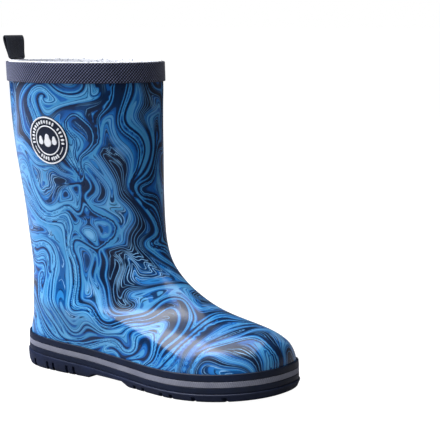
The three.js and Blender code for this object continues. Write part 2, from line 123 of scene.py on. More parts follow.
def turns(count):
    """Angles evenly round a circle."""
    return np.arange(count) / count * 2 * math.pi


def gaussian(width):
    reach = np.arange(-4 * width, 4 * width + 1)
    weights = np.exp(-0.5 * (reach / width) ** 2)
    return weights / weights.sum()


def path_length(points):
    """The length of a path up to each of its points."""
    return np.concatenate([[0], np.cumsum(np.linalg.norm(np.diff(points, axis=0), axis=1))])


def along_path(points, at):
    """The places at these lengths along a flat path."""
    length = path_length(points)
    return np.stack([np.interp(at, length, points[:, k]) for k in (0, 1)], axis=1)


def softened(points, kernel):
    """A flat path smoothed by a kernel, and shorter by its length."""
    return np.stack([np.convolve(points[:, k], kernel, "valid") for k in (0, 1)], axis=1)


def closed_outline(points):
    """Points round a closed smooth curve, evenly spaced along its length."""
    p = np.array(points, float)
    u = np.linspace(0, 1, CURVE_STEPS, endpoint=False)[None, :, None]
    before, here, after, beyond = (np.roll(p, k, axis=0)[:, None, :] for k in (1, 0, -1, -2))
    start, end = (after - before) / 2, (beyond - here) / 2
    curve = here + start * u + (3 * (after - here) - 2 * start - end) * u**2
    curve = curve + (2 * (here - after) + start + end) * u**3
    curve = curve.reshape(-1, 2)
    closed = np.vstack([curve, curve[:1]])
    at = np.linspace(0, path_length(closed)[-1], OUTLINE_STEPS, endpoint=False)
    even = along_path(closed, at)
    kernel = gaussian(OUTLINE_SOFTNESS)
    edge = len(kernel) // 2
    return softened(np.vstack([even[-edge:], even, even[:edge]]), kernel)


def mirrored(half, length, width):
    out = [(x * length, -y * width) for x, y in half]
    back = [(x * length, y * width) for x, y in reversed(half)]
    return [(0, 0), *out, (length, 0), *back]


OVAL = turns(48)
OUTLINES = np.stack([
    closed_outline(np.array(SOLE_OUTLINE) * SOLE_LENGTH) / (SOLE_LENGTH, FOOT_HALF_WIDTH),
    closed_outline(mirrored(INSTEP_HALF, INSTEP_LENGTH, INSTEP_HALF_WIDTH))
    / (INSTEP_LENGTH, INSTEP_HALF_WIDTH),
    closed_outline(np.stack([1 - np.cos(OVAL), -SHAFT_RATIO * np.sin(OVAL)], axis=1))
    / (2, SHAFT_RATIO),
])


def station_levels(key):
    """A station value at every level, as a smooth monotone curve."""
    h, v = STATIONS[:, 0], STATIONS[:, key]
    width, rise = np.diff(h), np.diff(v) / np.diff(h)
    slope = np.concatenate([rise[:1], np.zeros(len(rise) - 1), rise[-1:]])
    same = rise[:-1] * rise[1:] > 0
    slope[1:-1][same] = 2 * rise[:-1][same] * rise[1:][same] / (rise[:-1] + rise[1:])[same]
    x = np.clip(LEVELS, h[0], h[-1])
    i = np.clip(np.searchsorted(h, x, "left") - 1, 0, len(width) - 1)
    w = width[i]
    u = (x - h[i]) / w
    curve = v[i] * (1 + 2 * u) * (1 - u) ** 2 + v[i + 1] * u * u * (3 - 2 * u)
    curve += slope[i] * w * u * (1 - u) ** 2 + slope[i + 1] * w * u * u * (u - 1)
    edge = 4 * LEVEL_SOFTNESS
    return np.convolve(np.pad(curve, edge, "edge"), gaussian(LEVEL_SOFTNESS), "valid")


STATION_CURVES = {key: station_levels(key) for key in range(1, 6)}


def station(key, h):
    return np.interp(h, LEVELS, STATION_CURVES[key])


def outline(kind, axis, t):
    position = (np.asarray(t) % 1) * OUTLINE_STEPS
    table = OUTLINES[kind][:, axis]
    return np.interp(position, np.arange(OUTLINE_STEPS + 1), np.append(table, table[0]))


def heel_raise(x):
    return HEEL_RAISE * np.clip(1 - x / HEEL_RAISE_END, 0, 1)


def toe_spring(x):
    return TOE_SPRING * np.clip((x - TOE_SPRING_START) / (SOLE_LENGTH - TOE_SPRING_START), 0, 1) ** 2


def layer_height(x, h):
    return h + heel_raise(x) + toe_spring(x)


def skin(t, h):
    """Outer face of the rubber at a share t of the way round and level h."""
    t, h = np.broadcast_arrays(np.asarray(t, float), np.asarray(h, float))
    a, b = station(TO_INSTEP, h), station(TO_OVAL, h)
    share = [
        (outline(0, k, t) * (1 - a) + outline(1, k, t) * a) * (1 - b) + outline(2, k, t) * b
        for k in (0, 1)
    ]
    back = station(BACK, h)
    x = back + (station(FRONT, h) - back) * share[0]
    y = station(HALF, h) * share[1]
    z = h + smooth(1 - (h - FADE_START) / FADE_RANGE) * (heel_raise(x) + toe_spring(x))
    return np.stack([x, y, z], axis=-1)


def span(t, h):
    """Millimetres round the boot for a whole turn of t, as measured at one place."""
    return np.linalg.norm(skin(t + 0.005, h) - skin(t - 0.005, h)) / 0.01


def skin_normal(t, h):
    t, h = np.broadcast_arrays(np.asarray(t, float), np.asarray(h, float))
    along = skin(t + SIDE_STEP, h) - skin(t - SIDE_STEP, h)
    up = skin(t, h + UP_STEP) - skin(t, h - UP_STEP)
    return unit(np.cross(along, up))


def behind(t, h, depth):
    """A point at a depth behind the outer face (negative is in front of it)."""
    return skin(t, h) - skin_normal(t, h) * np.asarray(depth, float)[..., None]


def behind_sole(t, h, depth, lift=layer_height):
    """The same on a layer of the sole: the depth is level, the height follows the sole."""
    t, h = np.broadcast_arrays(np.asarray(t, float), np.asarray(h, float))
    level = np.maximum(h, STATIONS[0, 0])
    along = skin(t + SIDE_STEP, level) - skin(t - SIDE_STEP, level)
    inward = unit(np.stack([-along[..., 1], along[..., 0], 0 * t], axis=-1))
    point = skin(t, level) + inward * np.asarray(depth, float)[..., None]
    point[..., 2] = lift(point[..., 0], h)
    return point


# ---------------- mesh helpers
FOXING_BACK = 0.05  # x of the rearmost point of the foxing in the boot's own frame
SHIFT = np.array([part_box("foxing_strip")[0].x / MM - FOXING_BACK, 0, 0])
AROUND = 260  # columns round the fine surfaces
SHARP_ANGLE = 35  # degrees between two faces from which their edge is drawn sharp


def at_frame(points):
    return (np.asarray(points, float) + SHIFT) * MM


def shares(count=AROUND):
    return np.arange(count) / count


def show(name, data):
    """A new object in the scene."""
    thing = bpy.data.objects.new(name, data)
    bpy.context.scene.collection.objects.link(thing)
    return thing


def turn_out(mesh):
    """Turns every face outwards."""
    work = bmesh.new()
    work.from_mesh(mesh)
    bmesh.ops.recalc_face_normals(work, faces=work.faces)
    work.to_mesh(mesh)
    work.free()


def make_piece(name, points, faces, material, uv=None, sharp=SHARP_ANGLE):
    """A mesh object from points in millimetres, with one UV pair per face corner."""
    mesh = bpy.data.meshes.new(name)
    mesh.from_pydata(at_frame(points).tolist(), [], [list(map(int, f)) for f in faces])
    if uv is not None:
        layer = mesh.uv_layers.new(name="Length")
        layer.data.foreach_set("uv", np.asarray(uv, np.float32).ravel())
    mesh.shade_smooth()
    mesh.set_sharp_from_angle(angle=math.radians(sharp))
    mesh.materials.append(material)
    return show(name, mesh)


def tube_faces(rows, columns, closed):
    """Quads between rings of equal length, facing out where the rings rise."""
    j = np.arange(rows if closed else rows - 1)[:, None]
    i = np.arange(columns)[None, :]
    below, above = j * columns, (j + 1) % rows * columns
    right = (i + 1) % columns
    return np.stack([below + i, below + right, above + right, above + i], axis=-1).reshape(-1, 4)


def ladder(columns, ring, facing_down):
    """Strips straight across a ring, from each point to the one facing it."""
    faces = []
    for i in range(columns // 2):
        across = (columns - i - 1) % columns, (columns - i) % columns
        corners = [ring * columns + k for k in dict.fromkeys([i, i + 1, *across])]
        faces.append(corners[::-1] if facing_down else corners)
    return faces


def lidded_faces(rows, columns):
    """The faces of a tube whose first and last rings are closed by strips across them."""
    faces = tube_faces(rows, columns, False).tolist()
    return faces + ladder(columns, 0, True) + ladder(columns, rows - 1, False)


def bar_faces(rows, columns, first=0):
    """The faces of a tube with flat ends, whose points are numbered from first."""
    faces = (tube_faces(rows, columns, False) + first).tolist()
    start = [first + k for k in range(columns)]
    end = [k + (rows - 1) * columns for k in start]
    return faces + [start[::-1], end]


def joined_bars(bars):
    """The points and faces of several bars as one mesh."""
    points, faces = [], []
    for rings in bars:
        faces += bar_faces(*rings.shape[:2], len(points))
        points += rings.reshape(-1, 3).tolist()
    return points, faces


def tube_uv(rings, closed):
    """Arc length round and across, in centimetres, for every face corner."""
    wrapped = np.concatenate([rings, rings[:, :1]], axis=1)
    around = np.linalg.norm(np.diff(wrapped, axis=1), axis=2).cumsum(axis=1)
    around = np.concatenate([np.zeros((len(rings), 1)), around], axis=1)
    around = around / around[:, -1:] * np.median(around[:, -1])
    loop = np.concatenate([rings, rings[:1]], axis=0) if closed else rings
    across = np.linalg.norm(np.diff(loop, axis=0), axis=2).mean(axis=1).cumsum()
    across = np.concatenate([[0], across])
    rows, columns = len(loop) - 1, rings.shape[1]
    u = np.concatenate([around, around[:1]], axis=0) if closed else around
    corners = np.zeros((rows, columns, 4, 2))
    for corner, (dj, di) in enumerate([(0, 0), (0, 1), (1, 1), (1, 0)]):
        corners[:, :, corner, 0] = u[dj:rows + dj, di:columns + di]
        corners[:, :, corner, 1] = across[dj:rows + dj, None]
    return corners.reshape(-1, 2) / 10


def make_tube(name, rings, material, middles=()):
    """A skin through rings. It closes on itself, or at the middle points of its two ends."""
    rows, columns = rings.shape[:2]
    closed = not len(middles)
    faces = tube_faces(rows, columns, closed).tolist()
    uv = tube_uv(rings, closed)
    points = rings.reshape(-1, 3)
    for ring, middle in zip((0, rows - 1), middles):
        points = np.vstack([points, middle])
        here = np.arange(columns) + ring * columns
        after = np.roll(here, -1)
        edge = [after, here] if ring == 0 else [here, after]
        fan = np.stack([*edge, np.full(columns, len(points) - 1)], axis=1)
        faces += fan.tolist()
        uv = np.vstack([uv, points[fan.ravel()][:, :2] / 10])
    return make_piece(name, points, faces, material, uv)


def profile_rings(profile, place=behind_sole, count=AROUND):
    """Rings for a profile of (level, depth) pairs followed round the boot."""
    return np.stack([place(shares(count), h, depth) for h, depth in profile])


def rounded(profile, radius, steps=4):
    """A closed profile with its corners rounded."""
    out = []
    p = np.array(profile, float)
    for before, here, after in zip(np.roll(p, 1, axis=0), p, np.roll(p, -1, axis=0)):
        cut = min(radius, np.linalg.norm(before - here) * 0.45, np.linalg.norm(after - here) * 0.45)
        start = here + unit(before - here) * cut
        end = here + unit(after - here) * cut
        for k in range(steps + 1):
            u = k / steps
            out.append((1 - u) ** 2 * start + 2 * u * (1 - u) * here + u * u * end)
    return out


def subdivided(profile, longest):
    """A closed profile with extra points wherever two are further apart than longest."""
    out = []
    for a, b in zip(profile, profile[1:] + profile[:1]):
        parts = max(1, math.ceil(np.linalg.norm(np.subtract(b, a)) / longest))
        out += [np.add(a, np.subtract(b, a) * k / parts) for k in range(parts)]
    return out


def settle(piece, slot, *nodes, body="boot"):
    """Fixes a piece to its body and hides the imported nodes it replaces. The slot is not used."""
    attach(piece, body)
    if nodes:
        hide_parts(*nodes)
    return piece


# ---------------- marbled print
# Each set of waves: how many, longest and shortest in millimetres, and seed.
EDDIES = {"waves": (24, 50, 22, 28), "distance": 6, "steps": 5}
FOLDS = {"waves": (12, 160, 75, 103), "distance": 230, "steps": 26}
SWELLS = {"waves": (10, 60, 30, 104), "height": 0.06}
LUMPS = {"waves": (14, 90, 38, 4), "height": 0.1}
BAND_LENGTH = 36  # millimetres of height for one band of ink before it is stirred
BAND_SLANT = np.array([0, 0.3, 1])
# The front of the shaft is painted darker, as shade on the side away from the lights, from this x and
# height on and fully after this reach.
FRONT_SHADE_START = (50, 60)
FRONT_SHADE_REACH = (30, 25)
FRONT_SHADE = -0.3
# Broad lighter and darker areas of the print: centre, reach and how much lighter.
INK_POOLS = [
    ((25, -30, 110), (34, 60, 42), 0.28), ((135, -30, 28), (40, 30, 16), 0.3),
    ((88, -25, 54), (30, 30, 13), -0.55), ((-8, -30, 158), (26, 60, 30), 0.26),
    ((182, -15, 28), (28, 45, 22), -0.6),
]
SOFTENING = np.array([0.2, 0.6, 0.2])
CROWDING_PASSES = 16


def plane_waves(count, longest, shortest, seed):
    """Wave vectors, phases and lengths of smooth random waves, in millimetres."""
    rng = np.random.default_rng(seed)
    direction = unit(rng.normal(size=(count, 3)))
    length = shortest * (longest / shortest) ** rng.uniform(size=count)
    return direction * (2 * math.pi / length)[:, None], rng.uniform(0, 2 * math.pi, count), length


def wave_field(p, field):
    k, phase, length = plane_waves(*field["waves"])
    total = np.zeros(len(p))
    for direction, start, weight in zip(k, phase, length / length.mean()):
        total += weight * np.cos(p @ direction + start)
    return total * math.sqrt(2 / len(k)) * field["height"]


def stir(p, flow):
    """Where the ink at p came from, after an incompressible stirring flow."""
    k, phase, _ = plane_waves(*flow["waves"])
    rng = np.random.default_rng(len(k))
    sideways = unit(np.cross(k, rng.normal(size=k.shape)))
    step = flow["distance"] / flow["steps"] / math.sqrt(len(k) / 2)
    for _ in range(flow["steps"]):
        velocity = np.zeros_like(p)
        for direction, start, push in zip(k, phase, sideways):
            velocity += np.cos(p @ direction + start)[:, None] * push
        p = p - velocity * step
    return p


def pool(p, centre, reach):
    return np.exp(-0.5 * (((p - np.array(centre)) / np.array(reach)) ** 2).sum(axis=1))


def eased(value):
    """A grid of values with its finest detail softened."""
    padded = np.pad(value, 1, "wrap")
    padded[0], padded[-1] = padded[1], padded[-2]
    rows = sum(w * padded[k:k + len(value)] for k, w in enumerate(SOFTENING))
    return sum(w * rows[:, k:k + value.shape[1]] for k, w in enumerate(SOFTENING))


def ink(points):
    """On a grid of points: how many bands up the stirred ink lies, and how much lighter it is, painted
    shade included.
    """
    p = points.reshape(-1, 3)
    eddies = stir(p, EDDIES)
    folded = stir(eddies, FOLDS)
    bands = folded @ unit(BAND_SLANT) / BAND_LENGTH + wave_field(folded, SWELLS)
    near = 0.6 * eddies + 0.4 * folded
    # Painted shade darkens the front of the shaft.
    shade = FRONT_SHADE * smooth((near[:, [0, 2]] - FRONT_SHADE_START) / FRONT_SHADE_REACH).prod(axis=1)
    for centre, reach, lift in INK_POOLS:
        shade += lift * pool(near, centre, reach)
    return eased(bands.reshape(points.shape[:2])), eased(shade.reshape(points.shape[:2]))


def slope_of(value, points):
    """How fast a value changes along a grid of points that closes round each row."""
    up = np.abs(np.gradient(value, axis=0)) / np.linalg.norm(np.gradient(points, axis=0), axis=2)
    step = np.roll(points, -1, axis=1) - np.roll(points, 1, axis=1)
    along = np.roll(value, -1, axis=1) - np.roll(value, 1, axis=1)
    return np.hypot(up, along / np.linalg.norm(step, axis=2))


def crowding_of(slope):
    """The slope averaged over a few millimetres."""
    for _ in range(CROWDING_PASSES):
        slope = eased(slope)
    return slope


# ---------------- shader helpers
def linear(red, green, blue):
    """An sRGB colour, 0 to 255, as linear light."""
    c = np.array([red, green, blue]) / 255
    return [*np.where(c <= 0.04045, c / 12.92, ((c + 0.055) / 1.055) ** 2.4).tolist(), 1]


class Shader:
    """A material with one Principled shader, and short names for adding nodes to it."""

    def __init__(self, name, **values):
        self.material = bpy.data.materials.new(name)
        self.material.use_nodes = True
        self.tree = self.material.node_tree
        self.main = self.tree.nodes["Principled BSDF"]
        for socket, value in values.items():
            self.main.inputs[socket.replace("_", " ")].default_value = value

    def add(self, kind, inputs=None, **settings):
        node = self.tree.nodes.new("ShaderNode" + kind)
        for key, value in settings.items():
            setattr(node, key, value)
        for key, value in (inputs or {}).items():
            self.put(node.inputs[key], value)
        return node

    def put(self, socket, value):
        if isinstance(value, bpy.types.NodeSocket):
            self.tree.links.new(value, socket)
        else:
            socket.default_value = value

    def math(self, operation, *values, clamp=False):
        node = self.add("Math", operation=operation, use_clamp=clamp)
        for socket, value in zip(node.inputs, values):
            self.put(socket, value)
        return node.outputs[0]

    def wave(self, value, length):
        """A sine wave of this length along value, from -1 to 1."""
        return self.math("SINE", self.math("MULTIPLY", value, 2 * math.pi / length))

    def attribute(self, name):
        return self.add("Attribute", attribute_name=name).outputs["Fac"]

    def place(self):
        """The surface point in millimetres."""
        here = self.add("TexCoord").outputs["Object"]
        node = self.add("VectorMath", {0: here, "Scale": 1 / MM}, operation="SCALE")
        return node.outputs[0]

    def lengths(self):
        """Arc lengths round and across the surface, in millimetres."""
        uv = self.add("UVMap", uv_map="Length").outputs[0]
        split = self.add("SeparateXYZ", {"Vector": uv})
        return [self.math("MULTIPLY", split.outputs[k], 10.0) for k in (0, 1)]

    def noise(self, size, detail=2.0, roughness=0.5, shift=0.0, vector=None):
        """Noise with features of about size millimetres."""
        if vector is None:
            vector = self.place()
        away = (shift, shift * 0.7, -shift)
        moved = self.add("VectorMath", {0: vector, 1: away}, operation="ADD").outputs[0]
        return self.add("TexNoise", {
            "Vector": moved, "Scale": 1 / size, "Detail": detail, "Roughness": roughness}).outputs[0]

    def cloud(self, size, detail=2.0, roughness=0.5, shift=0.0, to=(0.0, 1.0)):
        """Noise stretched so that it fills the range to."""
        return self.spread(self.noise(size, detail, roughness, shift), 0.3, 0.7, *to)

    def spread(self, value, low, high, to_low=0.0, to_high=1.0):
        """A value carried from one range to another, and held at its ends."""
        node = self.add("MapRange", {
            "Value": value, "From Min": low, "From Max": high, "To Min": to_low, "To Max": to_high})
        return node.outputs["Result"]

    def ramp(self, value, stops):
        """The colour at a value between stops of a position and an sRGB colour."""
        node = self.add("ValToRGB", {"Fac": value})
        elements = node.color_ramp.elements
        for k, (position, *colour) in enumerate(stops):
            element = elements[k] if k < 2 else elements.new(position)
            element.position = position
            element.color = linear(*colour)
        return node.outputs[0]

    def mix(self, share, first, second, strength=1):
        """From the first colour to the second as share goes to 1. Tuples are sRGB colours."""
        if strength != 1:
            share = self.math("MULTIPLY", share, strength)
        first, second = [linear(*c) if isinstance(c, tuple) else c for c in (first, second)]
        node = self.add("Mix", {"Factor": share, 6: first, 7: second}, data_type="RGBA")
        return node.outputs[2]

    def bump(self, height, distance, normal=None):
        """Relief of distance millimetres where height goes from 0 to 1."""
        node = self.add("Bump", {"Height": height, "Distance": distance * MM, "Strength": 1.0})
        if normal is not None:
            self.put(node.inputs["Normal"], normal)
        return node.outputs[0]

    def finish(self, colour, roughness, **more):
        for socket, value in {"Base_Color": colour, "Roughness": roughness, **more}.items():
            self.put(self.main.inputs[socket.replace("_", " ")], value)
        return self.material


# ---------------- materials
LINE_DARK = (5, 38, 80)
LINE_LIGHT = (134, 192, 242)
LINE_VEIN = (92, 154, 212)
# The inks across a band: position, and sRGB colour.
INKS = [
    (0.00, 8, 26, 54), (0.16, 4, 40, 76), (0.17, 8, 60, 112), (0.24, 12, 70, 126),
    (0.25, 12, 92, 172), (0.29, 18, 102, 184), (0.30, 5, 42, 82), (0.37, 8, 56, 106),
    (0.38, 24, 112, 194), (0.46, 44, 135, 206), (0.47, 12, 78, 142), (0.53, 20, 96, 164),
    (0.54, 72, 153, 212), (0.63, 92, 168, 223), (0.64, 18, 100, 180), (0.70, 30, 114, 194),
    (0.71, 8, 58, 108), (0.75, 6, 52, 98), (0.76, 76, 156, 214), (0.86, 108, 179, 230),
    (0.87, 42, 124, 192), (0.91, 52, 134, 200), (0.92, 96, 170, 223), (1.0, 120, 187, 235),
]
# The same inks with fewer steps, for where they were drawn out too thin to tell apart.
DRAWN_INKS = [
    (0.0, 5, 34, 68), (0.28, 7, 46, 90), (0.31, 14, 88, 166), (0.5, 26, 106, 186),
    (0.53, 62, 147, 205), (0.7, 76, 158, 214), (0.73, 14, 82, 148), (0.78, 14, 82, 148),
    (0.81, 88, 167, 222), (1.0, 104, 178, 228),
]
# Fine lines in the ink: how many to a band, where the first lies, and half their width.
DARK_LINES = (15.0, 0.13, 0.34)
PALE_LINES = (11.0, 0.4, 0.24)
VEINS = (4.0, 0.15, 0.22)
LINE_EDGE = 0.1
SPARSE = 0.8  # lines to the millimetre up to which all are drawn
CROWDED = 1.25  # and from which none is


def contour_lines(s, value, slope, crowding, lines):
    """Lines of even width in millimetres along the contours of value."""
    per_unit, offset, half_width = lines
    step = s.math("MULTIPLY_ADD", value, per_unit, offset)
    away = s.math("ABSOLUTE", s.math("SUBTRACT", s.math("FRACT", step), 0.5))
    steep = s.math("MULTIPLY_ADD", slope, per_unit, 1e-6)
    distance = s.math("DIVIDE", away, steep)
    line = s.spread(distance, half_width + LINE_EDGE, half_width - LINE_EDGE)
    # Lines fade where they would run together.
    room = s.spread(s.math("MULTIPLY", crowding, per_unit), CROWDED, SPARSE)
    return s.math("MULTIPLY", line, room)


def print_material():
    """Glossy rubber with the marbled print."""
    s = Shader("marbled_rubber", Coat_Roughness=0.15, Specular_IOR_Level=0.2)
    value, slope, crowding = [s.attribute(name) for name in ("ink", "ink_slope", "ink_crowding")]
    wander = s.math("SUBTRACT", s.noise(5, 3, 0.6), 0.5)
    value = s.math("MULTIPLY_ADD", wander, 0.02, value)
    # Every second band runs the other way, so that the inks meet without a step.
    level = s.math("MULTIPLY_ADD", s.math("PINGPONG", value, 1.0), 0.95, 0.025)
    level = s.math("ADD", level, s.attribute("ink_shade"), clamp=True)
    colour = s.mix(s.spread(crowding, 0.18, 0.32), s.ramp(level, INKS), s.ramp(level, DRAWN_INKS))
    dark, light, vein = [
        contour_lines(s, value, slope, crowding, lines) for lines in (DARK_LINES, PALE_LINES, VEINS)]
    colour = s.mix(dark, colour, LINE_DARK, 0.9)
    colour = s.mix(vein, colour, LINE_VEIN, 0.75)
    fleck = s.spread(s.noise(9, 2, shift=40), 0.34, 0.5)
    colour = s.mix(s.math("MULTIPLY", light, fleck), colour, LINE_LIGHT)
    relief = s.bump(s.noise(1.6), 0.012, s.bump(s.noise(26, 1), 0.16))
    roughness = s.cloud(20, 4, 0.6, to=(0.24, 0.34))
    coat = s.cloud(30, shift=9, to=(0.6, 0.8))
    return s.finish(colour, roughness, Normal=relief, Coat_Weight=coat)


def band_material():
    """Navy rubber with a fine slanting knurl: its raised diamonds are painted pale as a highlight, the
    valleys near black as shade.
    """
    s = Shader("knurled_rubber", Specular_IOR_Level=0.25, Sheen_Weight=0.14, Sheen_Roughness=0.4)
    u, v = s.lengths()
    slants = s.math("SUBTRACT", u, v), s.math("ADD", u, v)
    strong, weak = [s.math("ABSOLUTE", s.wave(slant, 4.0)) for slant in slants]
    knurl = s.math("MULTIPLY", strong, s.math("MULTIPLY_ADD", weak, 0.6, 0.4))
    tops = s.spread(knurl, 0.48, 0.66)
    # Patches in the pale tint of the painted highlight, and in the roughness.
    wear_and_highlight = s.cloud(7, 4, 0.6)
    colour = s.mix(wear_and_highlight, (96, 103, 136), (118, 123, 156))
    # Painted highlight on the raised diamonds, painted shade in the valleys.
    colour = s.mix(tops, (3, 6, 16), colour)
    return s.finish(colour, s.spread(wear_and_highlight, 0, 1, 0.42, 0.55), Normal=s.bump(tops, 0.3))


def rubber_material(name, dark, light, low, high, grain, streaks=False):
    """Moulded rubber: mottled, a little scuffed, with fine grain."""
    s = Shader(name, Specular_IOR_Level=0.45)
    scuff = s.spread(s.noise(2.5, 5, 0.7, shift=13), 0.58, 0.75)
    scuffed = [*(2.2 * c for c in linear(*light)[:3]), 1]
    colour = s.mix(scuff, s.mix(s.cloud(11, 5, 0.6), dark, light), scuffed, 0.25)
    relief = s.bump(s.noise(0.7, 3, 0.6), grain)
    if streaks:
        # Faint lines drawn out along the strip when it was extruded.
        u, v = s.lengths()
        along = s.add("CombineXYZ", {"X": s.math("MULTIPLY", u, 0.01), "Y": v})
        relief = s.bump(s.noise(0.8, 2, vector=along.outputs[0]), 0.05, relief)
    return s.finish(colour, s.cloud(6, 4, 0.6, 5, (low, high)), Normal=relief)


def reflective_material():
    """Grey reflective tape, with fine slanting hatching."""
    s = Shader("reflective_tape", Specular_IOR_Level=0.6, Metallic=0.35)
    u, v = s.lengths()
    hatch = s.wave(s.math("MULTIPLY_ADD", v, 0.45, u), 1.3)
    colour = s.mix(s.cloud(12, 3), (136, 139, 156), (158, 160, 174))
    colour = s.mix(s.spread(hatch, 0.2, 0.9, 0.0, 0.35), colour, (92, 96, 112))
    return s.finish(colour, s.cloud(3, 3, to=(0.33, 0.46)), Normal=s.bump(hatch, 0.05))


def lining_material():
    """Pale knitted sock with dark flecks."""
    s = Shader("speckled_knit", Specular_IOR_Level=0.25, Sheen_Weight=0.25, Sheen_Roughness=0.5)
    u, v = s.lengths()
    rows = s.wave(v, 0.9)
    stitches = s.wave(s.math("MULTIPLY_ADD", rows, 0.16, u), 1.1)
    knit = s.spread(s.math("MULTIPLY", s.spread(stitches, -1, 1), s.spread(rows, -1, 1)), 0, 0.7)
    flecks = s.spread(s.noise(1.7, 3, 0.7, shift=3), 0.55, 0.62)
    colour = s.mix(s.cloud(9, 3), (240, 242, 247), (248, 249, 252))
    colour = s.mix(flecks, colour, (96, 104, 124), 0.75)
    colour = s.mix(s.spread(knit, 0, 1, 0.2, 0.0), colour, (150, 156, 170))
    return s.finish(colour, s.cloud(4, to=(0.8, 0.95)), Normal=s.bump(knit, 0.16))


def webbing_material():
    """Black herringbone tape."""
    s = Shader("black_webbing", Specular_IOR_Level=0.3, Sheen_Weight=0.12, Sheen_Roughness=0.4)
    u, v = s.lengths()
    ribs = s.wave(s.math("ADD", v, s.math("PINGPONG", u, 1.6)), 0.75)
    weave = s.spread(s.math("MULTIPLY_ADD", s.wave(u, 0.8), 0.45, ribs), -1.2, 1.2)
    fuzz = s.cloud(0.6, 3, 0.7)
    colour = s.mix(weave, (10, 12, 18), (36, 41, 54))
    colour = s.mix(fuzz, colour, (58, 62, 74), 0.3)
    return s.finish(colour, s.spread(fuzz, 0, 1, 0.62, 0.85), Normal=s.bump(weave, 0.14))


def white_print_material():
    """White raised print, slightly rubbed at its edges."""
    s = Shader("white_print", Specular_IOR_Level=0.5)
    wear_and_highlight = s.spread(s.noise(1.8, 4, 0.7), 0.62, 0.8)
    colour = s.mix(s.cloud(6), (240, 243, 249), (250, 251, 253))
    colour = s.mix(wear_and_highlight, colour, (96, 104, 124), 0.35)
    return s.finish(colour, s.cloud(2, to=(0.32, 0.45)), Normal=s.bump(s.noise(0.8), 0.02))


def fibre_material(name, dark, light, size, relief, rough):
    """Felted or pressed stuff: fibres, pores and a dull surface."""
    s = Shader(name, Specular_IOR_Level=0.2)
    fibres = s.cloud(size, 5, 0.7)
    colour = s.mix(s.cloud(size * 12), s.mix(fibres, dark, light), dark, 0.3)
    roughness = s.spread(fibres, 0, 1, rough, rough + 0.1)
    return s.finish(colour, roughness, Normal=s.bump(fibres, relief))


# Rubbers: dark and light colour, least and most roughness, depth of the grain.
# Fibres: dark and light colour, size and depth of the fibres, least roughness.
PRINT = print_material()
BAND_RUBBER = band_material()
FOXING_RUBBER = rubber_material("foxing_rubber", (5, 17, 38), (12, 25, 52), 0.36, 0.5, 0.02, True)
OUTSOLE_RUBBER = rubber_material("outsole_rubber", (13, 23, 48), (22, 33, 62), 0.46, 0.6, 0.04)
BADGE_RUBBER = rubber_material("badge_rubber", (14, 24, 44), (22, 32, 54), 0.3, 0.42, 0.02)
INNER_RUBBER = rubber_material("inner_rubber", (24, 24, 28), (34, 34, 38), 0.6, 0.75, 0.05)
REFLECTIVE = reflective_material()
KNIT = lining_material()
WEBBING = webbing_material()
WHITE_PRINT = white_print_material()
BOARD = fibre_material("pressed_board", (140, 116, 84), (172, 148, 112), 0.6, 0.06, 0.8)
FOAM = fibre_material("closed_cell_foam", (70, 78, 90), (92, 100, 112), 0.5, 0.08, 0.8)
BRUSHED = fibre_material("brushed_textile", (120, 127, 140), (164, 170, 182), 0.35, 0.08, 0.85)


# ---------------- rubber upper
UPPER_STEP = 1.0  # spacing of the rows up the outer face
UPPER_AROUND = 310
INSIDE_ROWS = 30
MARGIN_LOW = 9.3  # underside of the margin that is turned in under the foot
MARGIN_WIDTH = 14
# The cut edge of the rubber: how far below the rim, and depth.
CUT_EDGE = [
    (0.35, 0.02), (0.1, 0.2), (0, 0.55), (0, RUBBER - 0.55), (0.1, RUBBER - 0.2),
    (0.35, RUBBER - 0.02),
]


def even_levels(low, high, step):
    """Levels whose rows lie step millimetres apart where the skin is flattest."""
    h = np.arange(low, high, 0.05)
    points = skin(shares(64)[None, :], h[:, None])
    run = np.linalg.norm(np.diff(points, axis=0), axis=2).max(axis=1)
    length = np.concatenate([[0], run.cumsum()])
    return np.interp(np.linspace(0, length[-1], int(length[-1] / step)), length, h)


def upper_rings():
    """The margin under the foot, the outer face, the cut edge and the inside, in rings.

    The second result says which rings are the outer face.
    """
    outer = even_levels(11.5, RIM - 0.7, UPPER_STEP)
    inner = np.linspace(RIM - 1, 14, INSIDE_ROWS)
    under = [(MARGIN_LOW, depth) for depth in (MARGIN_WIDTH, 10, 6, 2)]
    under += [(MARGIN_LOW + 0.15, 0.7), (MARGIN_LOW + 0.5, 0.15)]
    wall = [(h, 0) for h in outer] + [(RIM - drop, depth) for drop, depth in CUT_EDGE]
    wall += [(h, RUBBER) for h in inner]
    top = MARGIN_LOW + RUBBER
    over = [(top + 0.4, RUBBER + 0.3), (top, RUBBER + 1)]
    over += [(top, depth) for depth in (6, 10, MARGIN_WIDTH)]
    rings = np.vstack([
        profile_rings(under, count=UPPER_AROUND), profile_rings(wall, behind, UPPER_AROUND),
        profile_rings(over, count=UPPER_AROUND)])
    # The rubber is hand laid over a last, so away from its edges it is never quite even.
    face = slice(len(under), len(under) + len(outer))
    lumps = wave_field(rings[face].reshape(-1, 3), LUMPS).reshape(len(outer), -1)
    calm = smooth((RIM - 14 - outer) / 12) * smooth((outer - 20) / 8)
    normals = skin_normal(shares(UPPER_AROUND)[None, :], outer[:, None])
    rings[face] += normals * (lumps * calm[:, None])[..., None]
    return rings, face


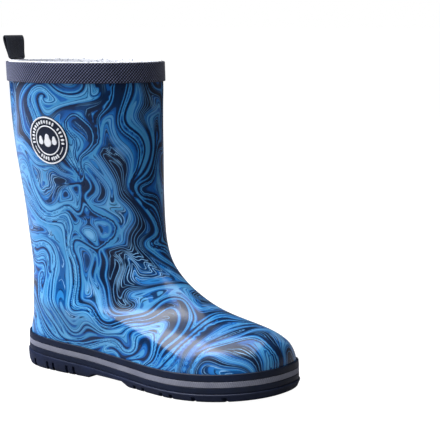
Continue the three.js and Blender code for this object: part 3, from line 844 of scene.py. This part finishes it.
def upper_shell():
    """The skin of foot and shaft. Its points carry the ink of the print, and the painted shade on the
    front of the shaft.
    """
    rings, face = upper_rings()
    piece = make_tube("printed_upper", rings, PRINT)
    value, shade = ink(rings)
    slope = slope_of(value, rings)
    shade[face.stop:] = -1  # the cut edge and the inside carry no pale ink
    inks = {"ink": value, "ink_slope": slope, "ink_crowding": crowding_of(slope), "ink_shade": shade}
    for name, values in inks.items():
        layer = piece.data.attributes.new(name, "FLOAT", "POINT")
        layer.data.foreach_set("value", values.astype(np.float32).ravel())
    return settle(piece, "upper_print", "upper_shell")


# ---------------- band, foxing and stripe
# Each strip: lower and upper level, depth of its back and of its face.
BAND = (188.4, 200.8, -0.3, -1.4)
FOXING = (5.5, 17.2, -0.3, -1.45)
STRIPE = (9.2, 12.6, -1.0, -1.4)
GROOVE = (9.0, 12.8, -0.85)  # in the foxing: lower and upper level, depth of its floor
# The band's end laps over its start behind the inner side of the heel.
LAP = {"start": 0.925, "rise": 0.006, "end": 0.955, "fall": 0.002, "height": 0.35}


def strip_profile(strip, radius):
    low, high, near, face = strip
    return rounded([(low, near), (low, face), (high, face), (high, near)], radius)


def top_band():
    profile = subdivided(strip_profile(BAND, radius=0.45), longest=1.2)
    rings = profile_rings(profile, behind)
    lap = smooth((shares() - LAP["start"]) / LAP["rise"])
    lap = lap * smooth((LAP["end"] - shares()) / LAP["fall"])
    low, _, _, face = BAND
    h, depth = np.array(profile).T
    out = (h > low - 1) & (depth < face + 0.3)
    normals = skin_normal(shares()[None, :], h[:, None])
    rings += normals * (out[:, None] * lap * LAP["height"])[..., None]
    return settle(make_tube("rim_band", rings, BAND_RUBBER), "band_rubber", "top_binding")


def foxing():
    low, high, near, face = FOXING
    groove_low, groove_high, floor = GROOVE
    profile = rounded([
        (low, near), (low, face), (groove_low, face), (groove_low, floor), (groove_high, floor),
        (groove_high, face), (high - 0.3, face + 0.05), (high, near)], radius=0.3)
    rings = profile_rings(subdivided(profile, longest=1.3))
    return settle(make_tube("foxing", rings, FOXING_RUBBER), "foxing_rubber", "foxing_strip")


def stripe():
    rings = profile_rings(subdivided(strip_profile(STRIPE, radius=0.2), longest=1.0))
    return settle(make_tube("stripe", rings, REFLECTIVE), "reflective", "reflective_stripe")


# ---------------- outsole
SOLE_AROUND = 420
# Level, depth, and share of the heel's raise, from the tread to the top of the sole.
SOLE_ROWS = [
    (0, 1.1, 0), (0.15, 0.4, 0), (0.5, -0.2, 0), (1.0, -0.7, 0), (2.2, -1.2, 0.02),
    (3.4, -1.65, 0.06), (3.9, -1.95, 0.5), (4.3, -2.1, 0.85), (4.7, -2.1, 0.95),
    (5.0, -1.9, 1), (5.2, -1.5, 1), (5.25, -1.0, 1), (5.25, 0.2, 1), (9, 0.2, 1),
]
TREAD_DEPTH = 3
BELOW = -6  # a height under the tread
BEYOND = 70  # a distance past both sides of the sole
# What is cut out of the block: the arch as (x, z), slanting grooves under the ball on both
# sides, and straight grooves under the heel with a notch at both ends, each at its x.
ARCH = [(67, -4), (105, -4), (105, 0), (99, 3.6), (72, 3.6), (67, 0)]
BALL_GROOVES = [114, 122, 138, 146, 162, 180]
SLANT = {"back": 2.5, "out": 24, "half_width": 1.3, "half_length": 25, "turn": 0.12}
HEEL_GROOVES = [20, 32.5, 38, 50, 56]
GROOVE_HALF_WIDTH = 1.1
GROOVE_HALF_LENGTH = 46
NOTCH = {"out": 1.9, "half_length": 1.8, "top": 6.0}
HEEL_CORE = {"x": 33, "half_length": 21.3, "half_width": 16.3, "floor": 5, "top": 16}
ALONG_Y, ALONG_Z = 1, 2  # the coordinate that a cutter is pushed along


def prism(outline_points, low, high, axis):
    """A closed cutter: an outline pushed along an axis between two places."""
    ends = [np.insert(np.array(outline_points, float), axis, end, axis=1) for end in (low, high)]
    mesh = bpy.data.meshes.new("cutter")
    faces = bar_faces(2, len(outline_points))
    mesh.from_pydata(at_frame(np.vstack(ends)).tolist(), [], faces)
    turn_out(mesh)
    return show("cutter", mesh)


def bar(x, y, half_x, half_y, top, turn=0.0):
    """A box cutter that comes up from below the tread, turned about its middle."""
    corners = [(-half_x, -half_y), (half_x, -half_y), (half_x, half_y), (-half_x, half_y)]
    c, s = math.cos(turn), math.sin(turn)
    points = [(x + a * c - b * s, y + a * s + b * c) for a, b in corners]
    return prism(points, BELOW, top, ALONG_Z)


def sole_edge(x, side):
    """Half width of the sole's outline at x, on the outer (-1) or inner (+1) side."""
    points = skin(np.linspace(0 if side < 0 else 1, 0.5, 600), STATIONS[0, 0])
    return float(np.interp(x, points[:, 0], points[:, 1]))


def apply_modifiers(piece):
    bpy.context.view_layer.update()
    evaluated = piece.evaluated_get(bpy.context.evaluated_depsgraph_get())
    mesh = bpy.data.meshes.new_from_object(evaluated)
    old = piece.data
    piece.modifiers.clear()
    piece.data = mesh
    mesh.name = old.name
    bpy.data.meshes.remove(old)


def cut(piece, cutters):
    """Takes the cutters out of the piece, all at once, and removes them."""
    group = bpy.data.collections.new("cutters")
    bpy.context.scene.collection.children.link(group)
    for cutter in cutters:
        bpy.context.scene.collection.objects.unlink(cutter)
        group.objects.link(cutter)
    modifier = piece.modifiers.new("cut", "BOOLEAN")
    modifier.operation = "DIFFERENCE"
    modifier.operand_type = "COLLECTION"
    modifier.collection = group
    modifier.solver = "EXACT"
    apply_modifiers(piece)
    for cutter in cutters:
        bpy.data.objects.remove(cutter)
    bpy.data.collections.remove(group)


def soften_edges(piece):
    """A small bevel along the cut edges."""
    bevel = piece.modifiers.new("soft_edges", "BEVEL")
    bevel.width = 0.25 * MM
    bevel.segments = 2
    bevel.limit_method = "ANGLE"
    bevel.angle_limit = math.radians(40)
    apply_modifiers(piece)
    piece.data.shade_smooth()
    piece.data.set_sharp_from_angle(angle=math.radians(32))


def tread_cutters():
    """The arch, and every groove and notch of the tread."""
    cutters = [prism(ARCH, -BEYOND, BEYOND, ALONG_Y)]
    back, out, half_width, half_length, turn = SLANT.values()
    for x in BALL_GROOVES:
        top = TREAD_DEPTH + float(toe_spring(x))
        for side in (-1, 1):
            cutters.append(bar(x - back, side * out, half_width, half_length, top, side * turn))
    for x in HEEL_GROOVES:
        cutters.append(bar(x, 0, GROOVE_HALF_WIDTH, GROOVE_HALF_LENGTH, TREAD_DEPTH - 0.5))
        for side in (-1, 1):
            y = sole_edge(x, side) + side * NOTCH["out"]
            cutters.append(bar(x, y, GROOVE_HALF_WIDTH, NOTCH["half_length"], NOTCH["top"]))
    return cutters


def outsole():
    t = shares(SOLE_AROUND)
    lift = lambda share: lambda x, h: h + share * heel_raise(x) + toe_spring(x)
    rings = np.stack([behind_sole(t, h, depth, lift(share)) for h, depth, share in SOLE_ROWS])
    faces = lidded_faces(len(SOLE_ROWS), SOLE_AROUND)
    piece = make_piece("treaded_outsole", rings.reshape(-1, 3), faces, OUTSOLE_RUBBER)
    core = HEEL_CORE
    oval = [
        (core["x"] + core["half_length"] * math.cos(a), core["half_width"] * math.sin(a))
        for a in turns(36)]
    cut(piece, [*tread_cutters(), prism(oval, core["floor"], core["top"], ALONG_Z)])
    soften_edges(piece)
    return settle(piece, "outsole_rubber", "outsole")


# ---------------- badge
BADGE = {"place": 0.255, "height": 152.5, "radius": 15.2}
DISC_BACK = -0.32
DISC_FACE = -1.0
RING_FACE = -1.45
MARK_FACE = -1.42
ARC_FACE = -1.4
# Groups of ticks: first and last angle in degrees, and how many.
TICKS = [(-8, 38, 5), (60, 188, 13), (236, 264, 4), (278, 304, 4)]
TICK = {"radius": 11.7, "long": 2.5, "short": 2.0, "width": 1.15}
ARCS = [(199, 226), (314, 341)]
ARC_RADII = (11.5, 11.95)
# Name, centre, size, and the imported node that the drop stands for.
DROPS = [
    ("badge_drop", (0, -1.4), 4.5, "badge_raindrop"), ("badge_drop_left", (-5.3, -0.9), 3.0),
    ("badge_drop_right", (5.3, -0.9), 3.0),
]


def on_badge(x, y, depth):
    """A point x along and y up from the badge's centre, at a depth behind the wall's face."""
    place, height = BADGE["place"], BADGE["height"]
    return behind(place + np.asarray(x) / span(place, height), height + np.asarray(y), depth)


def badge_rings(profile, radius=lambda angle: 1.0, centre=(0, 0), count=96):
    """Rings for a profile of (share of radius, depth) pairs swept round a point."""
    angle = turns(count)
    x, y = radius(angle) * np.cos(angle), radius(angle) * np.sin(angle)
    return np.stack([on_badge(centre[0] + r * x, centre[1] + r * y, depth) for r, depth in profile])


def badge_ring(name, inner, outer):
    near, face = DISC_FACE, RING_FACE
    profile = rounded([(inner, near), (outer, near), (outer, face), (inner, face)], 0.18, 3)
    return make_tube(name, badge_rings(profile, count=120), WHITE_PRINT)


def badge_disc(name, radius, near, face, material, edge, centre=(0, 0)):
    """A flat piece with a rounded edge, its outline given as a radius for each angle."""
    bevel = edge / np.max(radius(np.linspace(0, 2 * math.pi, 60)))
    steps = (0.02, 0.3, 0.6, 0.85)
    side = [
        (1 - bevel, near), (1, near), (1, face + edge * 0.8), (1 - bevel * 0.3, face + edge * 0.25),
        (1 - bevel, face)]
    profile = [(r, near) for r in steps] + side + [(r, face) for r in steps[::-1]]
    rings = badge_rings(profile, radius, centre)
    return make_tube(name, rings, material, [on_badge(*centre, near), on_badge(*centre, face)])


def badge_tick(angle, length):
    """One small raised mark with round ends, pointing away from the badge's centre."""
    radial = np.array([math.cos(angle), math.sin(angle)])
    across = np.array([-radial[1], radial[0]])
    a, half = turns(16)[:, None], TICK["width"] / 2
    shape = radial * (half * np.cos(a) + np.copysign(length / 2 - half, np.cos(a)))
    shape = shape + across * half * np.sin(a)
    rows = ((1, DISC_FACE), (1, MARK_FACE + 0.1), (0.88, MARK_FACE), (0.4, MARK_FACE))
    return np.stack([on_badge(*(radial * TICK["radius"] + shape * r).T, d) for r, d in rows])


def badge_marks():
    """Plain ticks over and under the inner ring, and a thin arc on each side."""
    angles = np.radians(np.concatenate([np.linspace(*group) for group in TICKS]))
    marks = [badge_tick(a, TICK["long" if k % 2 else "short"]) for k, a in enumerate(angles)]
    low, high = ARC_RADII
    r, depth = np.array([low, high, high, low]), np.array([DISC_FACE] * 2 + [ARC_FACE] * 2)
    for start, end in ARCS:
        angle = np.radians(np.linspace(start, end, 24))[:, None]
        marks.append(on_badge(r * np.cos(angle), r * np.sin(angle), depth))
    return make_piece("badge_marks", *joined_bars(marks), WHITE_PRINT)


def drop_radius(size):
    """The outline of a drop: a circle drawn out to a point at the top."""
    return lambda angle: size * (0.6 + 0.62 * np.maximum(0.0, np.sin(angle)) ** 9)


def badge():
    circle = lambda angle: BADGE["radius"]
    base = badge_disc("badge_disc", circle, DISC_BACK, DISC_FACE, BADGE_RUBBER, 0.4)
    settle(base, "badge_base", "badge_patch")
    settle(badge_ring("badge_rim", 14.1, 14.95), "badge_print", "badge_outer_ring")
    settle(badge_ring("badge_inner_rim", 8.7, 9.45), "badge_print", "badge_inner_ring")
    settle(badge_marks(), "badge_print")
    for name, centre, size, *nodes in DROPS:
        drop = badge_disc(name, drop_radius(size), DISC_FACE, MARK_FACE, WHITE_PRINT, 0.2, centre)
        settle(drop, "badge_print", *nodes)


# ---------------- lining
LINING_NEAR = 3.0  # depth of the side that lies on the rubber
LINING_FAR = 3.8
LINING_FLOOR = 13.3
FLOOR_STEPS = (17, 10)  # depths of the rows that cross the floor of the sock
ROLL_TOP = 201.5
ROLL_DEPTH = 0.25
LOOP_PLACE = 0.044
LOOP_WIDTH = 16


def lining():
    """Knitted sock: its top edge is rolled over the rubber, except where the loop comes up."""
    near, far, floor, top, hem = LINING_NEAR, LINING_FAR, LINING_FLOOR, ROLL_TOP, ROLL_DEPTH
    away = np.abs((shares() - LOOP_PLACE + 0.5) % 1 - 0.5) * span(LOOP_PLACE, 200)
    open_here = 1 - smooth((away - LOOP_WIDTH / 2 - 1.0) / 1.5)
    levels = even_levels(16, 199.0, 2.2)
    roll = [
        (200.55, near - 0.1), (200.6, 2.2), (200.6, 1.2), (200.6, hem + 0.25), (200.8, hem),
        (201.1, hem), (201.38, hem + 0.25), (top, 0.9), (top + 0.05, 1.8)]
    wall = [(h, near) for h in levels] + [(200.2, near)]
    wall += [(h, depth * (1 - open_here) + near * open_here) for h, depth in roll]
    wall += [(top - 0.05, near + 0.25), (201.1, far - 0.15), (200.4, far)]
    wall += [(h, far) for h in levels[::-1]]
    under = [(floor, depth) for depth in (*FLOOR_STEPS, near + 0.7)] + [(floor + 0.7, near)]
    over = [(floor + 1.5, far)]
    over += [(floor + 0.8, depth) for depth in (far + 0.7, *FLOOR_STEPS[::-1])]
    rings = np.vstack([profile_rings(under), profile_rings(wall, behind), profile_rings(over)])
    points = rings.reshape(-1, 3)
    faces = lidded_faces(len(rings), AROUND)
    lids = faces[(len(rings) - 1) * AROUND:]
    uv = np.vstack([tube_uv(rings, False)] + [points[lid][:, :2] / 10 for lid in lids])
    piece = make_piece("knitted_lining", points, faces, KNIT, uv)
    return settle(piece, "lining_textile", "lining")


# ---------------- pull loop
LOOP = {
    "pivot": 202.95, "lean": math.radians(13), "turn": math.radians(6),
    "twist": math.radians(-8), "tail": 185.0,
}
TAPE = 0.85
THIN_TAPE = 0.42  # between rubber and lining, where the tails are pressed flat
TAIL_DEPTH = 2.35
STITCH = {"count": 5, "pitch": 2.6, "length": 2.1, "depth": 3.8, "rows": 9, "around": 8}
STITCH_ROWS = {"loop_stitch_upper": 196.6, "loop_stitch_lower": 188.6}


def loop_path():
    """Middle line of the tape seen from its edge: out from the hinge line, and height over it."""
    side = [
        (0.24, LOOP["tail"] - LOOP["pivot"]), (0.24, -9.0), (0.24, -4.0), (0.3, -2.2), (0.4, -0.9),
        (0.46, 0.0), (0.48, 1.2), (0.55, 2.8), (0.75, 4.8), (1.05, 7.4), (1.3, 10.2), (1.4, 12.4),
        (1.25, 13.7), (0.7, 14.35), (0, 14.5)]
    return np.array(side + [(-u, v) for u, v in reversed(side[:-1])])


def smooth_path(points, step):
    """A path through the points, evenly stepped, with its corners eased."""
    even = along_path(points, np.arange(0, path_length(points)[-1] + 1e-6, step))
    kernel = gaussian(2)
    edge = len(kernel) // 2
    padded = np.vstack([2 * even[0] - even[edge:0:-1], even, 2 * even[-1] - even[-2:-edge - 2:-1]])
    return softened(padded, kernel)


def tape_section():
    """Round the tape's section: across the width, and through the thickness from -0.5 to 0.5."""
    half = LOOP_WIDTH / 2
    edge = [(half - 0.35 + 0.35 * math.cos(a), 0.5 * math.sin(a)) for a in np.linspace(-1.57, 1.57, 7)]
    top = [(x, 0.5) for x in np.linspace(half - 1.6, -half + 1.6, 9)]
    side = np.array(edge + top)
    return np.vstack([side, -side])


def loop_rings(path, section, root):
    """Rings round the tape: its tails follow the wall, and above the rim they leave it."""
    tangent = unit(np.gradient(path, axis=0))
    across, through = section
    thick = THIN_TAPE + (TAPE - THIN_TAPE) * smooth((path[:, 1:] + 2.2) / 3.0)
    out = path[:, :1] + tangent[:, 1:] * through * thick
    up = path[:, 1:] - tangent[:, :1] * through * thick
    lean = LOOP["lean"] * smooth((up + 1.0) / 2.0)
    side = out * np.cos(lean) + up * np.sin(lean)
    rise = up * np.cos(lean) - out * np.sin(lean)
    turn = LOOP["turn"] + LOOP["twist"] * smooth(up / 12)
    c, s = np.cos(turn), np.sin(turn)
    flat = root + np.stack([-c * side - s * across, c * across - s * side, rise], axis=-1)
    level = LOOP["pivot"] + up
    place = LOOP_PLACE - across / span(LOOP_PLACE, 195)
    curved = behind(place, np.minimum(level, 204), TAIL_DEPTH - out)
    curved[..., 2] = level
    blend = smooth((up + 2.4) / 2.6)[..., None]
    return curved * (1 - blend) + flat * blend


def pull_loop():
    """Folded tape: its tails lie down the wall, and its loop stands above the rim."""
    path, section = smooth_path(loop_path(), 0.35), tape_section().T
    root = behind(LOOP_PLACE, RIM, TAIL_DEPTH)
    root[2] = LOOP["pivot"]
    rings = loop_rings(path, section, root)
    rows, columns = rings.shape[:2]
    faces = bar_faces(rows, columns)
    across, along = section[0] / 10, path_length(path) / 10
    uv = [(across[k % columns], along[k // columns]) for face in faces for k in face]
    piece = make_piece("webbing_loop", rings.reshape(-1, 3), faces, WEBBING, uv, sharp=60)
    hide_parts("pull_loop", "loop_tails")
    start = at_frame(root - [0, 0, 1.4])
    end = at_frame(root + [0, 0, 1.6])
    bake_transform(piece)
    return piece


def loop_stitches():
    """Two rows of thread holding the tails of the loop through the lining."""
    count, pitch, length, inside, rows, around = STITCH.values()
    share, angle = np.linspace(0, 1, rows)[:, None], turns(around)
    swell = np.maximum(0.08, np.sin(math.pi * share)) ** 0.5
    depth = inside + 0.22 * swell + 0.2 * swell * np.cos(angle)
    middles = (np.arange(count) - count // 2) * pitch
    places = [LOOP_PLACE + (x + (share - 0.5) * length) / span(LOOP_PLACE, 192) for x in middles]
    for name, level in STITCH_ROWS.items():
        height = level + 0.26 * swell * np.sin(angle)
        points, faces = joined_bars([behind(place, height, depth) for place in places])
        uv = np.zeros((sum(map(len, faces)), 2))
        piece = make_piece("thread_" + name, points, faces, WEBBING, uv)
        turn_out(piece.data)
        settle(piece, "webbing", name)


# ---------------- insole
INSOLE_EDGE = 0.45


def insole_layer(name, low, high, depth, crown, material, slot, node):
    """A flat layer with a round edge, crowned a little where the foot rests."""
    edge = INSOLE_EDGE
    profile = [(low, depth + d) for d in (12, 8, 4, edge)]
    profile += [
        (low + edge, depth), (high - edge, depth), (high - edge * 0.3, depth + edge * 0.3),
        (high, depth + edge), (high + crown * 0.4, depth + 4), (high + crown * 0.8, depth + 8),
        (high + crown, depth + 12)]
    points = profile_rings(profile).reshape(-1, 3)
    piece = make_piece(name, points, lidded_faces(len(profile), AROUND), material)
    return settle(piece, slot, node, body="insole")


def insole():
    foam = insole_layer("foam_insole", 14.4, 17.5, 6.0, 0.0, FOAM, "foam", "insole_foam")
    cover = insole_layer(
        "insole_top_cloth", 17.75, 18.5, 6.2, 0.15, BRUSHED, "insole_cloth", "insole_cover")


# ---------------- pieces kept from the frame
KEPT = {
    "toe_reinforcement": INNER_RUBBER, "heel_counter": INNER_RUBBER, "heel_core": FOAM,
    "sole_filler": BOARD, "insole_board": BOARD,
}

upper_shell()
top_band()
foxing()
stripe()
outsole()
badge()
lining()
pull_loop()
loop_stitches()
insole()
for node, material in KEPT.items():
    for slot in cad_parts[node].material_slots:
        slot.material = material


# ---------------- stage, light and camera
# The camera: degrees, metres, and millimetres of lens.
VIEW = {
    "azimuth": 38.574, "distance": 0.8783, "height": 0.2263, "yaw": 3.205, "pitch": 8.149,
    "lens": 113.52,
}
VIEW_POINT = 90  # x of the point that the camera circles, in the boot's own frame
FLOOR_REACH = 40  # metres from its middle to its sides
FLOOR_GLOW = 1.0
SURROUND_GLOW = 0.08
LIGHT_AIM = 0.1  # height that the lights point at


def seen_directly(tree):
    return tree.nodes.new("ShaderNodeLightPath").outputs["Is Camera Ray"]


def outward(heading, rise):
    """The way out at a heading, from -Y towards +X, and a rise, both in degrees."""
    heading, rise = math.radians(heading), math.radians(rise)
    level = math.cos(rise)
    return Vector((math.sin(heading) * level, -math.cos(heading) * level, math.sin(rise)))


def look(thing, direction):
    """Points a lamp or camera in a direction."""
    thing.rotation_euler = direction.to_track_quat("-Z", "Y").to_euler()


def stage():
    """A wide pale floor that fades into the pale surroundings."""
    mesh = bpy.data.meshes.new("floor")
    corners = [(x * FLOOR_REACH, y * FLOOR_REACH, 0) for x, y in ((-1, -1), (1, -1), (1, 1), (-1, 1))]
    mesh.from_pydata(corners, [], [(0, 1, 2, 3)])
    s = Shader("pale_floor", Specular_IOR_Level=0.0, Emission_Color=(1, 1, 1, 1))
    glow = s.math("MULTIPLY", seen_directly(s.tree), FLOOR_GLOW)
    colour = s.mix(s.cloud(300), (118, 118, 121), (124, 124, 126))
    mesh.materials.append(s.finish(colour, 0.8, Emission_Strength=glow))
    floor = show("floor", mesh)


def surroundings():
    """White to the camera, and a weak even light to everything else."""
    world = bpy.data.worlds.new("studio")
    world.use_nodes = True
    tree = world.node_tree
    background = tree.nodes["Background"]
    background.inputs["Color"].default_value = (1, 1, 1, 1)
    strength = tree.nodes.new("ShaderNodeMapRange")
    strength.inputs["To Min"].default_value = SURROUND_GLOW
    strength.inputs["To Max"].default_value = 1.0
    tree.links.new(seen_directly(tree), strength.inputs["Value"])
    tree.links.new(strength.outputs["Result"], background.inputs["Strength"])
    bpy.context.scene.world = world


def soft_box(name, turn, rise, away, size, power, colour=(1, 1, 1), glossy=True):
    """A soft light, turn degrees to the left of the camera and rise degrees up."""
    offset = outward(VIEW["azimuth"] - turn, rise)
    data = bpy.data.lights.new(name, "AREA")
    data.shape = "RECTANGLE"
    data.size, data.size_y = size
    data.energy = power
    data.color = colour
    lamp = show(name, data)
    lamp.location = Vector((0, 0, LIGHT_AIM)) + offset * away
    lamp.visible_glossy = glossy
    look(lamp, -offset)


def camera():
    data = bpy.data.cameras.new("camera")
    data.lens = VIEW["lens"]
    data.sensor_width = 36
    data.clip_start = 0.01
    data.clip_end = 100
    centre = Vector(at_frame([VIEW_POINT, 0, 0]))
    eye = show("camera", data)
    eye.location = centre + outward(VIEW["azimuth"], 0) * VIEW["distance"]
    eye.location.z = VIEW["height"]
    look(eye, -outward(VIEW["azimuth"] - VIEW["yaw"], VIEW["pitch"]))
    bpy.context.scene.camera = eye


stage()
surroundings()
soft_box("left_light", 85, 50, 1.2, (0.8, 0.9), 16, (0.93, 0.95, 1.0))
soft_box("rim_light", 128, 18, 1.3, (0.5, 1.0), 26, (0.8, 0.83, 1.0), glossy=False)
soft_box("top_light", 20, 78, 1.3, (1.0, 1.0), 10)
soft_box("front_fill", 45, 20, 2.2, (1.6, 1.6), 18.5, glossy=False)
soft_box("back_fill", -150, 30, 2.0, (1.4, 1.4), 10, glossy=False)
camera()
bpy.context.scene.view_settings.view_transform = "Standard"
